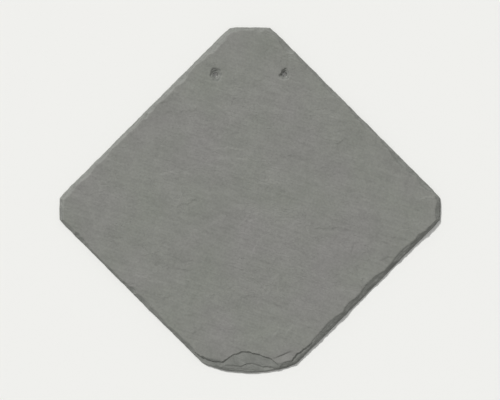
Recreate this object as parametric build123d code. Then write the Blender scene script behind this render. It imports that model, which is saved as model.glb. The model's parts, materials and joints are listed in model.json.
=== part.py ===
from build123d import *
from math import sqrt
import os

# Slate roof tile with an arched foot, split and hewn from one slab of slate.
# It is a square stood on its corner: the foot corner is hewn to a shallow arc, the two side
# corners and the head corner are clipped straight, and every edge is spalled to a bevel on
# the weather face. Two nail holes near the head are punched from the bed, so they break out
# into a crater on the weather face, where the nail's head sinks in.
# The tile lies on its bed: X across, Y from foot to head, Z up out of the weather face.
# The origin is on the bed, in the middle of the tile's length and width. Millimetres.

# Driving dimensions
square_side = 250.0
thickness = 5.0
foot_width = 81.0
foot_rise = 7.2
side_clip = 10.0
head_clip = 18.0

# Hewn bevels, across the weather face and down the edge
edge_bevel_width = 5.0
edge_bevel_depth = 3.0
foot_bevel_width = 9.0
foot_bevel_depth = 3.5

# Nail holes
nail_hole_diameter = 4.5
nail_crater_diameter = 12.0
nail_crater_depth = 2.0
nail_spacing = 60.0
nail_below_head = 42.0

# Places that follow from the dimensions, from the middle of the square
half_diagonal = square_side / sqrt(2)
foot_end = Vector(foot_width / 2, foot_width / 2 - half_diagonal)
side_low = Vector(half_diagonal - side_clip, -side_clip)
side_high = Vector(half_diagonal - side_clip, side_clip)
head_end = Vector(head_clip, half_diagonal - head_clip)
foot_low_y = foot_end.Y - foot_rise
middle_y = (head_end.Y + foot_low_y) / 2


def outline():
    """The tile seen square on to its weather face."""
    right = Polyline(foot_end, side_low, side_high, head_end)
    left = mirror(right, about=Plane.YZ)
    head = Line(head_end, Vector(-head_end.X, head_end.Y))
    foot = SagittaArc(foot_end, Vector(-foot_end.X, foot_end.Y), foot_rise)
    return make_face([right, head, left, foot])


def hewn_bevels(slab):
    """Bevels round the weather face: one width along the straight edges, a wider one at the foot."""
    face = slab.faces().sort_by(Axis.Z)[-1]
    straight = face.edges().filter_by(GeomType.LINE)
    slab = chamfer(straight, length=edge_bevel_width, length2=edge_bevel_depth, reference=face)
    face = slab.faces().sort_by(Axis.Z)[-1]
    foot = face.edges().filter_by(GeomType.CIRCLE)
    return chamfer(foot, length=foot_bevel_width, length2=foot_bevel_depth, reference=face)


def nail_hole():
    """A punched hole through the slab, with its crater at the weather face."""
    on_bed = (Align.CENTER, Align.CENTER, Align.MIN)
    shaft = Cylinder(nail_hole_diameter / 2, thickness, align=on_bed)
    crater = Cone(nail_hole_diameter / 2, nail_crater_diameter / 2, nail_crater_depth, align=on_bed)
    return shaft + Pos(0, 0, thickness - nail_crater_depth) * crater


def slate_tile():
    tile = hewn_bevels(extrude(outline(), thickness))
    for side in (-1, 1):
        place = Pos(side * nail_spacing / 2, head_end.Y - nail_below_head, 0)
        tile -= place * nail_hole()
    return Pos(0, -middle_y, 0) * tile


os.makedirs("parts", exist_ok=True)
tile = slate_tile()
export_step(tile, "parts/slate_tile.step")

size = tile.bounding_box().size
print(f"overall {size.X:.1f} x {size.Y:.1f} x {size.Z:.1f} mm, volume {tile.volume / 1000:.1f} cm3")
print(f"nail holes at x {nail_spacing / 2:.1f}, y {head_end.Y - nail_below_head - middle_y:.3f}")
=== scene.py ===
import bmesh
import bpy
import json
from collections import namedtuple
from math import atan2, cos, pi, radians, sin, sqrt
from mathutils import Matrix, Vector, noise
from random import Random


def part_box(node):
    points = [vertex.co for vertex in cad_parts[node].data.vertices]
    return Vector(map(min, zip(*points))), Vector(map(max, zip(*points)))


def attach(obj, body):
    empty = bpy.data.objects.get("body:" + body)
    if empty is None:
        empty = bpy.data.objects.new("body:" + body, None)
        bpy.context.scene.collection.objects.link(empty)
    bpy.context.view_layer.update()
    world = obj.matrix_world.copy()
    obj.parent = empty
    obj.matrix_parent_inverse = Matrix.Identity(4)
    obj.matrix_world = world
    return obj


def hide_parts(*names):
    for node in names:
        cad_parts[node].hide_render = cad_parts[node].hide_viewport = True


# Slate roof tile with an arched foot, lying on its bed with the weather face up.
# The slab is a grid cut to the tile's outline and thickened. Its vertices are then moved to the
# heights of the broken stone: riven relief on both faces, flakes hewn off round the edge, and
# craters at the nail holes. All sizes are in metres.

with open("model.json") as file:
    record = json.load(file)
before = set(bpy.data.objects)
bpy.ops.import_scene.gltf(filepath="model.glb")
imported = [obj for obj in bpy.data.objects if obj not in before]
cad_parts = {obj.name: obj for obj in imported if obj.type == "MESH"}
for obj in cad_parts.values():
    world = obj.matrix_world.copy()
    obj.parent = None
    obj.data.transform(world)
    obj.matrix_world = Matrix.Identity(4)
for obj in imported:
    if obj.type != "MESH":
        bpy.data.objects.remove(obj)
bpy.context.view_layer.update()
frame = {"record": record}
mm = 0.001

# A straight edge and how far in its flakes reach, a flake hewn off an edge, a smooth random wave,
# how far apart two seeds lie in the noise that makes it, and a pattern of the slate's finish
Edge = namedtuple("Edge", "start end reach")
Flake = namedtuple("Flake", "along half_width reach depth")
Wave = namedtuple("Wave", "height size seed")
seed_spacing = 7.31
Pattern = namedtuple("Pattern", "size stretch detail", defaults=((1, 1, 1), 3.0))

# Outline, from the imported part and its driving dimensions
square_side = 250 * mm
head_clip = 18 * mm
foot_width = 81 * mm
foot_rise = 7.2 * mm
tile_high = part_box("slate_tile")[1]
thickness = tile_high.z
half_width = tile_high.x
half_diagonal = square_side / sqrt(2)
side_clip = half_diagonal - half_width
head_end = Vector((head_clip, tile_high.y))
square_middle = Vector((0, head_end.y - half_diagonal + head_clip))
side_high = square_middle + Vector((half_width, side_clip))
side_low = square_middle + Vector((half_width, -side_clip))
foot_end = square_middle + Vector((foot_width / 2, foot_width / 2 - half_diagonal))
foot_lowest = Vector((0, foot_end.y - foot_rise))
foot_radius = (foot_end.x ** 2 + foot_rise ** 2) / (2 * foot_rise)
foot_centre = Vector((0, foot_end.y - foot_rise + foot_radius))
foot_half_angle = atan2(foot_end.x, foot_centre.y - foot_end.y)
foot_half_arc = foot_radius * foot_half_angle
foot_facets = 40

# Ragged line of the outline, and how it differs from one layer of the wall to the next
outline_waves = [Wave(0.3 * mm, 14 * mm, 20), Wave(0.22 * mm, 3.5 * mm, 21)]
layer_wave = Wave(0.15 * mm, 4 * mm, 22)

# Nail holes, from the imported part's bores, and how far from its middle a hole's rim is looked for
bores = [mount for mount in frame["record"]["mounts"] if mount["kind"] == "bore"]
nail_places = [Vector(mount["pos_m"][:2]) for mount in bores]
nail_radius = bores[0]["dims"]["r_mm"] * mm
rim_reach = 2 * nail_radius

# Craters round the nail holes: their size, how ragged their rims and their floors are, and the
# share of the way in from the rim where a floor is at its roughest
crater_radius = 6 * mm
crater_depth = 2 * mm
crater_rim_waves = [Wave(2.7 * mm, 6 * mm, 8)]
crater_floor_waves = [Wave(0.5 * mm, 2.5 * mm, 9)]
crater_smooth_rim = 0.3

# Cells of the slab's grid, the rows of cells up its walls, and the bands where cells are halved:
# twice in the fine bands along the edge and the foot, once in bands wider by a share, a third time
# at the arris, and once more within each band round a nail hole
grid_cells = 96
wall_rows = 4
fine_band = 8 * mm
foot_fine_band = 22 * mm
wider_band = 1.2
arris_band = 2.6 * mm
nail_bands = (10 * mm, 8 * mm, 4 * mm)

# How near two points count as level, or a point as on a cut, the least angle of a corner that
# counts as straight, and the least angle between faces that shade as apart
tolerance = 0.1 * mm
straight_corner = radians(178)
sharp_edge = radians(40)

# Hewn edges: how far in from the edge the flakes reach, how deep they are at it, and the least
# and greatest half width of a flake, and the same for the small chips along the arris
edge_reach = 5 * mm
left_reach = 4 * mm
right_reach = 5.5 * mm
edge_depth = 3 * mm
edge_half_width = (4 * mm, 19 * mm)
chip_reach = 2.2 * mm
chip_depth = 0.7 * mm
chip_half_width = (1.2 * mm, 5 * mm)

# How single flakes differ: shares of that reach and depth, where a flake's middle and the next
# flake lie, as shares of its half width, and how its hollow rounds off across and inwards
flake_seed = 11
reach_shares = (0.55, 1.4)
depth_shares = (0.85, 1.1)
middle_share = 0.6
next_shares = (0.5, 1.4)
hollow_across = 0.5
hollow_inwards = 0.8

# Layers of hewn stone: their thickness, how steep their treads are, where on a tread the riser
# starts, and how far they show in the break, which differs from place to place
lamina = 0.8 * mm
tread_slope = 0.3
riser_start = 0.6
layers_shown = 0.65
layers_shown_waves = [Wave(0.35, 25 * mm, 7)]

# The break itself: its roughness, the depths where that and the hewn colour are full, how far in
# from an edge and out past it the hewing counts, and the least wall that it leaves
hewn_waves = [Wave(0.12 * mm, 2 * mm, 5), Wave(0.2 * mm, 5 * mm, 6)]
full_rough_depth = 0.6 * mm
full_colour_depth = lamina / 2
hewn_band = 20 * mm
edge_slack = 1 * mm
least_wall = 0.9 * mm

# Flakes hewn off the foot's edge: how far along it from its middle, half width, reach and depth
foot_flakes = [
    Flake(-30 * mm, 22 * mm, 9 * mm, 2.9 * mm),
    Flake(-3 * mm, 36 * mm, 10.8 * mm, 3.1 * mm),
    Flake(34 * mm, 14 * mm, 6.5 * mm, 3 * mm),
]

# Upper lines of the thin flakes gone from the foot, from the layer that showed under it, and from
# the right edge beside it, in millimetres: how far along, how far in from the edge, and how deep
# the flake is there
foot_flake_line = [mm * Vector(point) for point in (
    (-55, 15, 2.0),
    (-51, 17.5, 2.4),
    (-43, 9, 2.7),
    (-37, 7.2, 2.7),
    (-25, 8, 1.9),
    (-20, 11.5, 1.0),
    (-16, 15.4, 0.8),
    (-7, 19.6, 1.1),
    (0, 19.3, 1.4),
    (10, 16.2, 1.5),
    (17, 13.2, 1.5),
    (25, 5.5, 1.4),
    (29, 0, 1.2),
)]
lower_flake_line = [mm * Vector(point) for point in (
    (-24, 0, 0.6),
    (-20, 4.6, 0.8),
    (-8, 6.4, 0.7),
    (-3, 9.2, 0.7),
    (5, 9, 0.7),
    (11, 6, 0.9),
    (19, 5, 0.9),
    (23, 0, 0.6),
)]
right_flake_line = [mm * Vector(point) for point in (
    (-14, 3, 1.2),
    (-10.3, 8.8, 1.2),
    (0.8, 6.3, 1.2),
    (5.6, 7.7, 1.3),
    (25.5, 4.5, 1.3),
    (33, 0, 1.3),
)]

# Those lines' raggedness, the width of the step along them and how much wider it is for its depth,
# and how a step is found for finer cells: the places tried round it and the least change of depth
flake_line_waves = [Wave(0.8 * mm, 5 * mm, 3), Wave(0.4 * mm, 1.6 * mm, 4)]
flake_step_width = 0.6 * mm
flake_step_slope = 0.4
flake_step_tries = [mm * Vector(way) for way in ((-1, 0), (1, 0), (0, -1), (0, 1))]
flake_step_least = 0.15 * mm

# Leaf that has begun to lift near the foot's right end: its edge, measured from the foot's lowest
# point, its raggedness, the step there, its width, and how far below the edge the step fades out
leaf_start = Vector((19 * mm, 13 * mm))
leaf_end = Vector((37 * mm, 21 * mm))
leaf_waves = [Wave(0.5 * mm, 5 * mm, 3)]
leaf_depth = 0.95 * mm
leaf_step_width = 0.8 * mm
leaf_fade = 7 * mm

# Riven relief of the split faces, each with a seed that is added to its waves' own: its mean depth,
# how far down its high places are rubbed level, long swells, and ripples along the grain
weather_seed = 10
bed_seed = 30
relief_depth = 0.35 * mm
rubbed_depth = 0.15 * mm
grain_angle = radians(-18)
swell_waves = [Wave(0.15 * mm, 45 * mm, 0)]
ripple_waves = [Wave(0.24 * mm, 8 * mm, 1)]
ripple_stretch = 2.5

# Single layers on the split faces: the step from one to the next, waves whose whole numbers are
# the layers' edges, the riser as a share of a layer, and between which values of another wave an
# edge comes out crisp
plate_height = 0.26 * mm
plate_waves = [Wave(3.2, 30 * mm, 2)]
plate_stretch = 2.8
plate_edge_waves = [Wave(0.3, 12 * mm, 3), Wave(0.12, 3.5 * mm, 4)]
plate_riser = 0.09
plate_crisp_waves = [Wave(1.0, 30 * mm, 5)]
plate_crisp_range = (-0.15, 0.25)

# Finer cells at those edges: how far from a riser's middle, in risers, and the least crispness
plate_fine_reach = 1.3
plate_fine_crisp = 0.2

# Bed: how deep its relief is beside the weather face's, and the rim where it rises from the edge
bed_share = 0.6
bed_rim = 6 * mm

# Slate's finish: its patterns, by what they draw, with their size, their stretch along and across
# the grain and upwards, and their detail. The grain and strata of real slate are a tenth of these
# sizes or finer, too fine to show, so they are drawn coarser here.
slate_patterns = {
    "cloud": Pattern(60 * mm),
    "blotch": Pattern(28 * mm, detail=4.0),
    "mottle": Pattern(8 * mm, detail=4.0),
    "grain": Pattern(1.8 * mm, detail=5.0),
    "streak": Pattern(2.2 * mm, (14, 1, 1)),
    "strata": Pattern(11 * mm, (1, 1, 0.065), 2.0),
    "speck": Pattern(4 * mm, detail=1.0),
    "leaves": Pattern(20 * mm, (2.5, 1, 1), 5.0),
    "leafy": Pattern(26 * mm, detail=2.0),
}

# Tints of the split face and of hewn stone; the hewn tints are on the whole darker than the split
# face's, which paints shade on the hewn edges and in the flakes. Then the clouds' spread from one
# tint to the other, dark specks, and how much each pattern changes the tone
split_green = "#7A7C75"
split_violet = "#7B7A77"
hewn_dark_painted_shade = "#5A5C57"
hewn_pale = "#8A8B86"
cloud_range = (0.32, 0.68)
speck_range = (0.74, 0.86)
speck_tone = 0.8
tone_weights = {"blotch": 0.22, "mottle": 0.3, "grain": 0.5, "streak": 0.24, "strata": 0.06}

# Fine relief of the finish: how many thin leaves lie over each other, where they show, and the
# height that each pattern gives; then the gloss
leaf_count = 16.0
leafy_range = (0.42, 0.6)
height_weights = {"grain": 0.11 * mm, "streak": 0.12 * mm, "mottle": 0.1 * mm, "leaf": 0.11 * mm}
slate_roughness = 0.74
roughness_weights = {"mottle": 0.18, "grain": 0.16}
slate_ior = 1.55

# Studio: the floor board and how far it lies under the bed, so that the two don't share a plane,
# the share of the light that comes from all round, the key light, and the camera
board_colour = "#EFEFEC"
board_roughness = 0.9
board_half_side = 6.0
board_gap = 0.05 * mm
ambient = 0.44
key_direction = Vector((-0.45, 0.7, 0.62)).normalized()
key_spread = radians(5)
camera_height = 1.03
camera_lens = 85
camera_sensor = 36

# Sockets of a node that mixes two colours
mix_share, mix_first, mix_second, mix_result = 0, 6, 7, 2


def smooth_step(value, low=0.0, high=1.0):
    """0 below low, 1 above high, and a soft ramp between."""
    share = min(max((value - low) / (high - low), 0.0), 1.0)
    return share * share * (3 - 2 * share)


def uneven(place, waves, seed=0):
    """Sum of smooth random waves over a place; each seed gives other ones."""
    total = 0.0
    for wave in waves:
        level = (seed + wave.seed) * seed_spacing
        spot = Vector((place.x / wave.size, place.y / wave.size, level))
        total += wave.height * noise.noise(spot)
    return total


def along_grain(place, stretch):
    """The place with its length along the stone's grain shortened, which draws a pattern out."""
    turned = Matrix.Rotation(-grain_angle, 2) @ place
    return Vector((turned.x / stretch, turned.y))


def mirrored(place):
    """The same place on the other half of the tile."""
    return Vector((-place.x, place.y))


# The straight edges, anticlockwise from the foot's right end
straight_edges = [
    Edge(foot_end, side_low, right_reach),
    Edge(side_low, side_high, edge_reach),
    Edge(side_high, head_end, edge_reach),
    Edge(head_end, mirrored(head_end), edge_reach),
    Edge(mirrored(head_end), mirrored(side_high), edge_reach),
    Edge(mirrored(side_high), mirrored(side_low), edge_reach),
    Edge(mirrored(side_low), mirrored(foot_end), left_reach),
]
right_edge = straight_edges[0]


def outward(edge):
    """The way out of the tile, square to a straight edge."""
    run = (edge.end - edge.start).normalized()
    return Vector((run.y, -run.x))


def from_straight(edge, place):
    """How far along a straight edge a place lies, and how far in from it."""
    arm = place - edge.start
    run = (edge.end - edge.start).normalized()
    return arm.dot(run), arm.x * -run.y + arm.y * run.x


def from_foot(place):
    """How far along the foot's arc a place lies, from its middle, and how far in from it."""
    arm = place - foot_centre
    return foot_radius * atan2(arm.x, -arm.y), foot_radius - arm.length


def foot_inset(place):
    """How far in from the foot a place lies; past the arc's ends, how far from the nearer end."""
    along, inset = from_foot(place)
    if abs(along) <= foot_half_arc:
        return inset
    return (Vector((abs(place.x), place.y)) - foot_end).length


def edge_inset(place):
    """How far in from the nearest edge a place lies."""
    straight = min(from_straight(edge, place)[1] for edge in straight_edges)
    return min(straight, foot_inset(place))


def near_nail(place, reach):
    """Whether a place lies within reach of a nail hole's middle."""
    return any((place - centre).length < reach for centre in nail_places)


def hewn_flakes(start, length, half_widths, reach, depth, chance):
    """Flakes broken off one beside the other along an edge, each of its own width and depth."""
    flakes = []
    along = start
    while along < start + length:
        half = chance.uniform(*half_widths)
        flake_reach = reach * chance.uniform(*reach_shares)
        flake_depth = depth * chance.uniform(*depth_shares)
        flakes.append(Flake(along + middle_share * half, half, flake_reach, flake_depth))
        along += half * chance.uniform(*next_shares)
    return flakes


def edge_flakes():
    """For each straight edge and then the foot, its flakes and the small chips along its arris."""
    chance = Random(flake_seed)
    made = []
    for edge in straight_edges:
        length = (edge.end - edge.start).length
        flakes = hewn_flakes(0, length, edge_half_width, edge.reach, edge_depth, chance)
        chips = hewn_flakes(0, length, chip_half_width, chip_reach, chip_depth, chance)
        made.append((flakes, chips))
    length = 2 * foot_half_arc
    chips = hewn_flakes(-foot_half_arc, length, chip_half_width, chip_reach, chip_depth, chance)
    made.append((foot_flakes, chips))
    return made


flakes_by_edge = edge_flakes()


def scooped(flakes, along, inset):
    """Depth of the deepest flake over a place: a hollow that ends in a rounded upper line."""
    deepest = 0.0
    for flake in flakes:
        across = (along - flake.along) / flake.half_width
        share = 1 - inset / flake.reach - hollow_across * across * across
        if share > 0:
            deepest = max(deepest, flake.depth * share ** hollow_inwards)
    return deepest


def laminated(depth):
    """Depth broken into the stone's layers: nearly flat treads with short risers."""
    level = depth / lamina
    rest = level % 1.0
    step = tread_slope * rest + (1 - tread_slope) * smooth_step(rest, riser_start, 1.0)
    return lamina * (level - rest + step)


def hewn_depth(place):
    """How far the hewn edge lies below the weather face."""
    deepest = 0.0
    places = [from_straight(edge, place) for edge in straight_edges] + [from_foot(place)]
    for (along, inset), (flakes, chips) in zip(places, flakes_by_edge):
        if -edge_slack < inset < hewn_band:
            deepest = max(deepest, scooped(flakes, along, inset) + scooped(chips, along, inset))
    if deepest == 0:
        return 0.0
    rough = uneven(place, hewn_waves) * smooth_step(deepest, 0.0, full_rough_depth)
    depth = max(deepest + rough, 0.0)
    layered = layers_shown + uneven(place, layers_shown_waves)
    return depth + layered * (laminated(depth) - depth)


def thin_flake(line, along, inset, ragged):
    """Depth of a thin flake, all of it gone below its upper line."""
    for start, end in zip(line, line[1:]):
        if start.x <= along <= end.x:
            reach, depth = start.lerp(end, (along - start.x) / (end.x - start.x)).yz
            step_width = flake_step_width + flake_step_slope * depth
            return depth * smooth_step(reach + ragged - inset, 0.0, step_width)
    return 0.0


def thin_flakes(place):
    """Depth of the layers gone above the hewn edge, at the foot and beside its right end."""
    ragged = uneven(place, flake_line_waves)
    at_foot = thin_flake(foot_flake_line, place.x, foot_inset(place), ragged)
    under_it = thin_flake(lower_flake_line, place.x, foot_inset(place), ragged)
    at_right = thin_flake(right_flake_line, *from_straight(right_edge, place), ragged)
    return max(at_foot + under_it, at_right)


def lifted_leaf(place):
    """The step at the edge of the leaf that lifts, which fades out below it and at its ends."""
    run = leaf_end - leaf_start
    arm = place - foot_lowest - leaf_start
    along = arm.dot(run) / run.length_squared
    below = (arm.x * run.y - arm.y * run.x) / run.length + uneven(place, leaf_waves)
    if not 0 < along < 1 or not 0 < below < leaf_fade:
        return 0.0
    step = leaf_depth * smooth_step(below, 0.0, leaf_step_width)
    return step * sin(pi * along) * (1 - below / leaf_fade)


def crater(place):
    """The crater where the punch broke out on the weather face, ragged and in layers."""
    deepest = 0.0
    for centre in nail_places:
        arm = place - centre
        round_rim = centre + crater_radius * arm.normalized()
        reach = crater_radius + uneven(round_rim, crater_rim_waves) - nail_radius
        share = 1 - (arm.length - nail_radius) / reach
        if share > 0:
            rough = uneven(place, crater_floor_waves) * smooth_step(share, 0.0, crater_smooth_rim)
            deepest = max(deepest, laminated(max(crater_depth * min(share, 1.0) + rough, 0.0)))
    return deepest


def plate_level(place, seed):
    """Contour value whose whole numbers are the edges of single layers on a split face."""
    level = uneven(along_grain(place, plate_stretch), plate_waves, seed)
    return level + uneven(place, plate_edge_waves, seed)


def plate_crisp(place, seed):
    """How crisp the layers' edges are: some stand out, and others run out into the face."""
    return smooth_step(uneven(place, plate_crisp_waves, seed), *plate_crisp_range)


def riven(place, seed):
    """Depth of a split face's relief, below the level that its highest places are rubbed to."""
    swell = uneven(place, swell_waves, seed)
    ripple = uneven(along_grain(place, ripple_stretch), ripple_waves, seed)
    level = plate_level(place, seed)
    rest = level % 1.0
    riser = smooth_step(rest, 1 - plate_riser, 1.0)
    plate = plate_height * (level + plate_crisp(place, seed) * (riser - rest))
    depth = relief_depth + swell + ripple + plate
    return (depth + sqrt(depth * depth + rubbed_depth * rubbed_depth)) / 2


def bed_height(place):
    """Height of the bed's relief over a place; the tile rests on its edge and its lowest parts."""
    return bed_share * riven(place, bed_seed) * smooth_step(edge_inset(place), 0.0, bed_rim)


def rise(edge):
    """How far one end of a cell's edge lies above the other."""
    return abs(edge.verts[0].co.z - edge.verts[1].co.z)


def is_wall(face):
    """Whether a face stands upright; all others lie level until the stone is broken."""
    return abs(face.normal.z) < 0.5


def faces_out(edge):
    """Whether a cell's edge lies on the weather face, or level along a wall."""
    if rise(edge) > tolerance:
        return False
    on_weather_face = edge.verts[0].co.z > thickness - tolerance
    return on_weather_face or any(is_wall(face) for face in edge.link_faces)


def refine(slab, wanted):
    """Halves the edges whose middle is wanted, but none inside the bed, which stays coarse."""
    slab.normal_update()
    edges = [edge for edge in slab.edges
             if faces_out(edge) and wanted((edge.verts[0].co + edge.verts[1].co).to_2d() / 2)]
    bmesh.ops.subdivide_edges(slab, edges=edges, cuts=1, use_grid_fill=True)


def cut(slab, point, direction):
    """Cuts away what lies outside a line through the point."""
    everything = slab.verts[:] + slab.edges[:] + slab.faces[:]
    bmesh.ops.bisect_plane(slab, geom=everything, dist=tolerance, clear_outer=True,
                           plane_co=point.to_3d(), plane_no=direction.to_3d())


def cut_outline(slab):
    """Cuts the grid to the outline.

    A cell that is left with more than four corners is split, so that it is halved as the others are.
    """
    for edge in straight_edges:
        cut(slab, edge.start, outward(edge))
    for facet in range(foot_facets):
        angle = foot_half_angle * (2 * (facet + 0.5) / foot_facets - 1)
        direction = Vector((sin(angle), -cos(angle)))
        cut(slab, foot_centre + foot_radius * direction, direction)
    bmesh.ops.triangulate(slab, faces=[face for face in slab.faces if len(face.verts) > 4])


def punch_nail_holes(slab):
    """Takes out the cells inside each hole and draws its rim onto the circle."""
    for reach in nail_bands:
        refine(slab, lambda middle: near_nail(middle, reach))
    inside = [face for face in slab.faces
              if near_nail(face.calc_center_median().to_2d(), nail_radius)]
    bmesh.ops.delete(slab, geom=inside, context="FACES")
    for vertex in slab.verts:
        for centre in nail_places:
            arm = vertex.co.to_2d() - centre
            if vertex.is_boundary and arm.length < rim_reach:
                vertex.co.xy = centre + nail_radius * arm.normalized()


def in_fine_band(place, share=1.0):
    """Whether a place lies in the bands where the stone is hewn, made wider by a share."""
    return edge_inset(place) < share * fine_band or foot_inset(place) < share * foot_fine_band


def at_plate_edge(place):
    """Whether a place lies at a crisp edge of a layer on the weather face."""
    past_edge = (plate_level(place, weather_seed) + 0.5) % 1.0 - 0.5
    near = abs(past_edge + plate_riser / 2) < plate_fine_reach * plate_riser
    return near and plate_crisp(place, weather_seed) > plate_fine_crisp


def at_flake_line(place):
    """Whether a place lies at the step along a thin flake's upper line."""
    if not in_fine_band(place, wider_band):
        return False
    depths = [thin_flakes(place + way) for way in flake_step_tries]
    return max(depths) - min(depths) > flake_step_least


def has_straight_corner(face):
    """Whether a corner of the face lies within one of its sides."""
    return any(corner.calc_angle() > straight_corner for corner in face.loops)


def lay_bed(slab):
    """Copies the sheet down to the bed, facing the other way."""
    copied = bmesh.ops.duplicate(slab, geom=slab.faces[:])["geom"]
    faces = [part for part in copied if isinstance(part, bmesh.types.BMFace)]
    corners = [part for part in copied if isinstance(part, bmesh.types.BMVert)]
    bmesh.ops.reverse_faces(slab, faces=faces)
    bmesh.ops.translate(slab, verts=corners, vec=(0, 0, -thickness))


def raise_walls(slab):
    """Bridges the two sheets in each nail hole and round the outline.

    Solidify would make the same walls, but in another order each run.
    """
    rims = [edge for edge in slab.edges if edge.is_boundary]
    holes = [[edge for edge in rims if (edge.verts[0].co.to_2d() - centre).length < rim_reach]
             for centre in nail_places]
    outline = [edge for edge in rims if not near_nail(edge.verts[0].co.to_2d(), rim_reach)]
    for rim in holes + [outline]:
        bmesh.ops.bridge_loops(slab, edges=rim)


def thicken(slab):
    """Gives the sheet its thickness, with rows of cells up its walls."""
    refine(slab, lambda middle: in_fine_band(middle, wider_band) or at_plate_edge(middle))
    lay_bed(slab)
    raise_walls(slab)
    upright = [edge for edge in slab.edges if rise(edge) > tolerance]
    bmesh.ops.subdivide_edges(slab, edges=upright, cuts=wall_rows - 1, use_grid_fill=True)


def break_into_cells(slab):
    """Gives the weather face and the walls finer cells where the stone breaks."""
    refine(slab, lambda middle: in_fine_band(middle) or at_plate_edge(middle))
    refine(slab, lambda middle: edge_inset(middle) < arris_band or at_flake_line(middle))
    many_sided = [face for face in slab.faces if len(face.verts) > 4 or has_straight_corner(face)]
    bmesh.ops.poke(slab, faces=many_sided)


def ragged_inset(place, row):
    """How far the hewn wall falls short of the outline, a little more or less in each layer."""
    waves = outline_waves + [layer_wave._replace(seed=layer_wave.seed + row)]
    return sum(wave.height for wave in waves) + uneven(place, waves)


def ragged_move(place, row):
    """Which way and how far a place moves in from the edges that it lies near."""
    moved = Vector((0, 0))
    for edge in straight_edges:
        near = 1 - from_straight(edge, place)[1] / fine_band
        if near > 0:
            moved -= outward(edge) * ragged_inset(place, row) * near * near
    near = 1 - foot_inset(place) / fine_band
    if near > 0:
        inwards = (foot_centre - place).normalized()
        moved += inwards * ragged_inset(place, row) * near * near
    return moved


def break_stone(slab):
    """Moves every vertex to its place on the broken stone, and notes where the stone is hewn."""
    hewn = slab.verts.layers.float.new("hewn")
    for vertex in slab.verts:
        place = vertex.co.to_2d()
        share = vertex.co.z / thickness
        low = bed_height(place)
        broken = max(hewn_depth(place), crater(place), thin_flakes(place))
        gone = riven(place, weather_seed) + broken + lifted_leaf(place)
        high = max(thickness - gone, least_wall)
        vertex.co.z = low + share * (high - low)
        vertex.co.xy = place + ragged_move(place, round(share * wall_rows))
        if share > 0:
            # Where the stone is hewn, flaked or cratered, the darker hewn tint also paints shade
            vertex[hewn] = smooth_step(broken, 0.0, full_colour_depth)


def slate_piece():
    """The whole tile. Its cells are split along the shorter diagonal, so that steps run clean."""
    slab = bmesh.new()
    middle = Matrix.Translation((*square_middle, thickness))
    bmesh.ops.create_grid(slab, x_segments=grid_cells, y_segments=grid_cells, size=square_side / 2,
                          matrix=middle @ Matrix.Rotation(radians(45), 4, "Z"))
    cut_outline(slab)
    punch_nail_holes(slab)
    thicken(slab)
    break_into_cells(slab)
    break_stone(slab)
    bmesh.ops.triangulate(slab, faces=slab.faces[:], quad_method="SHORT_EDGE", ngon_method="BEAUTY")
    for face in slab.faces:
        face.smooth = True
    for edge in slab.edges:
        edge.smooth = edge.calc_face_angle(0.0) < sharp_edge
    return new_object("riven_slate", slab)


def new_object(name, shape):
    """Turns a finished bmesh into an object of the scene."""
    mesh = bpy.data.meshes.new(name)
    shape.to_mesh(mesh)
    shape.free()
    made = bpy.data.objects.new(name, mesh)
    bpy.context.scene.collection.objects.link(made)
    return made


def linear(code):
    """A colour written as sRGB hex, as linear numbers with full alpha."""
    parts = [int(code[i:i + 2], 16) / 255 for i in (1, 3, 5)]
    return [p / 12.92 if p <= 0.04045 else ((p + 0.055) / 1.055) ** 2.4 for p in parts] + [1.0]


def add(tree, kind, settings=(), links=()):
    """Adds a node, with its settings and what feeds its inputs."""
    node = tree.nodes.new(kind)
    for name, value in dict(settings).items():
        if isinstance(name, str) and hasattr(node, name):
            setattr(node, name, value)
        else:
            node.inputs[name].default_value = value
    for name, output in dict(links).items():
        tree.links.new(output, node.inputs[name])
    return node


def new_material(name):
    """A material without nodes, and the tree to add them to."""
    material = bpy.data.materials.new(name)
    material.use_nodes = True
    material.node_tree.nodes.clear()
    return material, material.node_tree


def drawn(tree, place, pattern):
    """Noise with features of the pattern's size, drawn out by its stretch."""
    scale = [pattern.size * share for share in pattern.stretch]
    turned = add(tree, "ShaderNodeMapping",
                 {"vector_type": "TEXTURE", "Rotation": (0, 0, grain_angle), "Scale": scale},
                 {"Vector": place})
    made = add(tree, "ShaderNodeTexNoise", {"Scale": 1.0, "Detail": pattern.detail},
               {"Vector": turned.outputs[0]})
    return made.outputs["Fac"]


def summed(tree, base, outputs, weights):
    """A base number plus each pattern times its weight, each about its middle of a half."""
    total = base - sum(weights.values()) / 2
    for name, weight in weights.items():
        step = add(tree, "ShaderNodeMath", {"operation": "MULTIPLY_ADD", 1: weight}, {0: outputs[name]})
        if isinstance(total, float):
            step.inputs[2].default_value = total
        else:
            tree.links.new(total, step.inputs[2])
        total = step.outputs[0]
    return total


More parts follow.
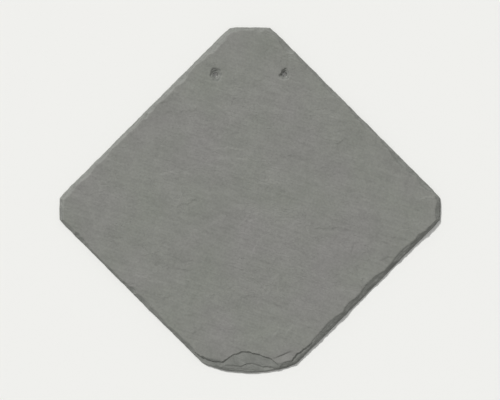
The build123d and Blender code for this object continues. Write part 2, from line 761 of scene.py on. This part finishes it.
def slate_colour(tree, outputs):
    """Tints of the split face and of hewn stone, with the tone of every pattern."""
    # The hewn share mixes in the darker hewn tints, which paint shade on the hewn edges and in the
    # flakes
    hewn_and_painted_shade_share = add(tree, "ShaderNodeAttribute", {"attribute_name": "hewn"}).outputs["Fac"]
    low, high = cloud_range
    cloud = add(tree, "ShaderNodeMapRange", {"From Min": low, "From Max": high},
                {"Value": outputs["cloud"]})
    split = add(tree, "ShaderNodeMix",
                {"data_type": "RGBA", mix_first: linear(split_green), mix_second: linear(split_violet)},
                {mix_share: cloud.outputs[0]})
    hewn = add(tree, "ShaderNodeMix",
               {"data_type": "RGBA", mix_first: linear(hewn_dark_painted_shade), mix_second: linear(hewn_pale)},
               {mix_share: outputs["strata"]})
    tint = add(tree, "ShaderNodeMix", {"data_type": "RGBA"},
               {mix_share: hewn_and_painted_shade_share, mix_first: split.outputs[mix_result],
                mix_second: hewn.outputs[mix_result]})
    low, high = speck_range
    speck = add(tree, "ShaderNodeMapRange",
                {"From Min": low, "From Max": high, "To Min": 1.0, "To Max": speck_tone},
                {"Value": outputs["speck"]})
    tone = add(tree, "ShaderNodeMath", {"operation": "MULTIPLY"},
               {0: summed(tree, 1.0, outputs, tone_weights), 1: speck.outputs[0]})
    colour = add(tree, "ShaderNodeVectorMath", {"operation": "SCALE"},
                 {0: tint.outputs[mix_result], "Scale": tone.outputs[0]})
    return colour.outputs[0]


def slate_relief(tree, outputs):
    """Normals of the fine relief, with the edges of thin leaves where the face is leafy."""
    low, high = leafy_range
    leafy = add(tree, "ShaderNodeMapRange", {"From Min": low, "From Max": high},
                {"Value": outputs["leafy"]})
    level = add(tree, "ShaderNodeMath", {"operation": "MULTIPLY", 1: leaf_count}, {0: outputs["leaves"]})
    rest = add(tree, "ShaderNodeMath", {"operation": "FRACT"}, {0: level.outputs[0]})
    leaf = add(tree, "ShaderNodeMath", {"operation": "MULTIPLY"},
               {0: rest.outputs[0], 1: leafy.outputs[0]})
    height = summed(tree, 0.0, {**outputs, "leaf": leaf.outputs[0]}, height_weights)
    return add(tree, "ShaderNodeBump", {"Distance": 1.0}, {"Height": height}).outputs[0]


def slate_finish():
    """Slate, split along its cleavage and left as it broke.

    The split face is a matt grey of very fine grain, clouded faintly green and violet, with dull
    streaks along the grain and a few small dark specks. Where it is hewn the tint is darker, which
    paints the shade on the hewn edges and in the flakes, and its broken layers show as fine bands.
    """
    material, tree = new_material("slate_riven")
    place = add(tree, "ShaderNodeTexCoord").outputs["Object"]
    outputs = {name: drawn(tree, place, pattern) for name, pattern in slate_patterns.items()}
    shader = add(tree, "ShaderNodeBsdfPrincipled", {"IOR": slate_ior},
                 {"Base Color": slate_colour(tree, outputs),
                  "Roughness": summed(tree, slate_roughness, outputs, roughness_weights),
                  "Normal": slate_relief(tree, outputs)})
    add(tree, "ShaderNodeOutputMaterial", {}, {"Surface": shader.outputs[0]})
    return material


def board_finish():
    """Board painted matt, even and pale."""
    material, tree = new_material("board_painted_matt")
    shader = add(tree, "ShaderNodeBsdfPrincipled",
                 {"Base Color": linear(board_colour), "Roughness": board_roughness})
    add(tree, "ShaderNodeOutputMaterial", {}, {"Surface": shader.outputs[0]})
    return material


def floor():
    """A board just under the bed."""
    sheet = bmesh.new()
    below = Matrix.Translation((0, 0, -board_gap))
    bmesh.ops.create_grid(sheet, x_segments=1, y_segments=1, size=board_half_side, matrix=below)
    board = new_object("floor", sheet)
    board.data.materials.append(board_finish())


def studio():
    """Even soft light from all round, behind which the eye sees the board's own paleness."""
    world = bpy.data.worlds.new("studio")
    bpy.context.scene.world = world
    world.use_nodes = True
    tree = world.node_tree
    tree.nodes.clear()
    path = add(tree, "ShaderNodeLightPath")
    seen = path.outputs["Is Camera Ray"]
    for ray in ("Is Glossy Ray", "Is Transmission Ray"):
        either = add(tree, "ShaderNodeMath", {"operation": "MAXIMUM"}, {0: seen, 1: path.outputs[ray]})
        seen = either.outputs[0]
    light = add(tree, "ShaderNodeBackground", {"Color": linear("#FFFFFF"), "Strength": ambient})
    backdrop = add(tree, "ShaderNodeBackground", {"Color": linear(board_colour), "Strength": 1.0})
    shown = add(tree, "ShaderNodeMixShader", {}, {0: seen, 1: light.outputs[0], 2: backdrop.outputs[0]})
    add(tree, "ShaderNodeOutputWorld", {}, {"Surface": shown.outputs[0]})


def key_light():
    """Soft light from the upper left, as strong as brings a level surface to its own colour."""
    lamp = bpy.data.lights.new("key", "SUN")
    lamp.angle = key_spread
    lamp.energy = pi * (1 - ambient) / key_direction.z
    key = bpy.data.objects.new("key", lamp)
    bpy.context.scene.collection.objects.link(key)
    key.location = key_direction
    key.rotation_euler = (-key_direction).to_track_quat("-Z", "Y").to_euler()


def camera():
    """A camera that looks straight down on the weather face, with the foot below."""
    lens = bpy.data.cameras.new("camera")
    lens.lens = camera_lens
    lens.sensor_width = camera_sensor
    eye = bpy.data.objects.new("camera", lens)
    bpy.context.scene.collection.objects.link(eye)
    eye.location = (0, 0, camera_height)
    bpy.context.scene.camera = eye


tile = slate_piece()
tile.data.materials.append(slate_finish())
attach(tile, "root")
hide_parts("slate_tile")
floor()
studio()
key_light()
camera()
bpy.context.scene.view_settings.view_transform = "Standard"
